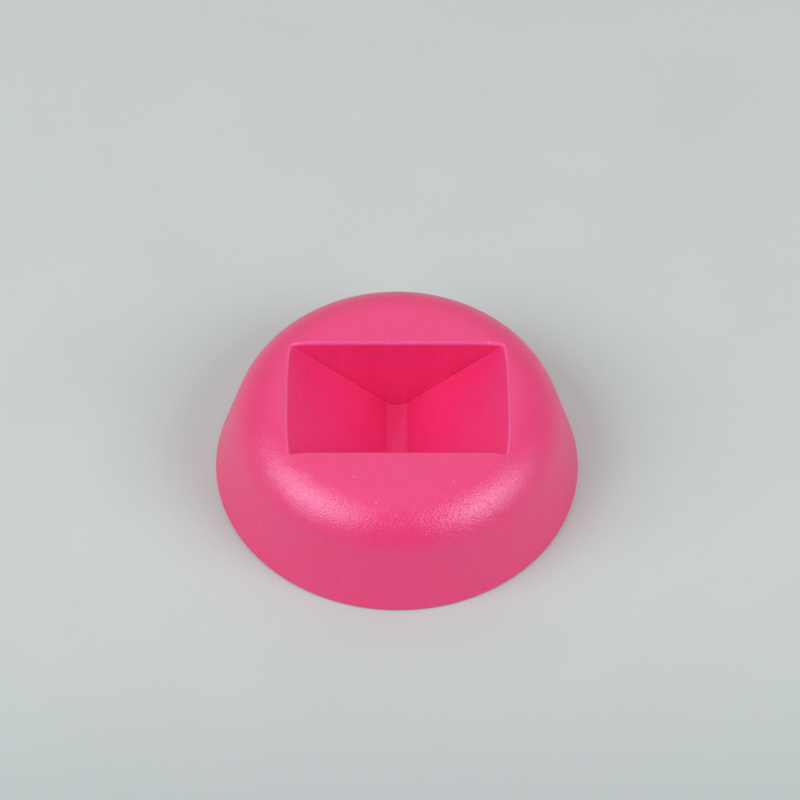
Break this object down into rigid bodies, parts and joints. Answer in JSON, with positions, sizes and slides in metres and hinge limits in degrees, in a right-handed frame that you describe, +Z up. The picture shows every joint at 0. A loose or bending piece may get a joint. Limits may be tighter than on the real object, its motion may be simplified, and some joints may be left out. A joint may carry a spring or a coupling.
{
  "type": "resin casting mould",
  "caption": "Low round one-piece silicone mould with a flared skirt, a domed shoulder and one roof-shaped pocket in its flat top.",
  "frame": {"origin": "centre of the flat base, on the surface it stands on", "axes": "+Z up out of the pocket, +Y along the pocket's valley, +X across the two sloping faces"},
  "size_m": [0.068, 0.068, 0.02],
  "materials": {
    "silicone": "satin"
  },
  "bodies": {
    "root": {"mould_body": "silicone"}
  },
  "joints": []
}
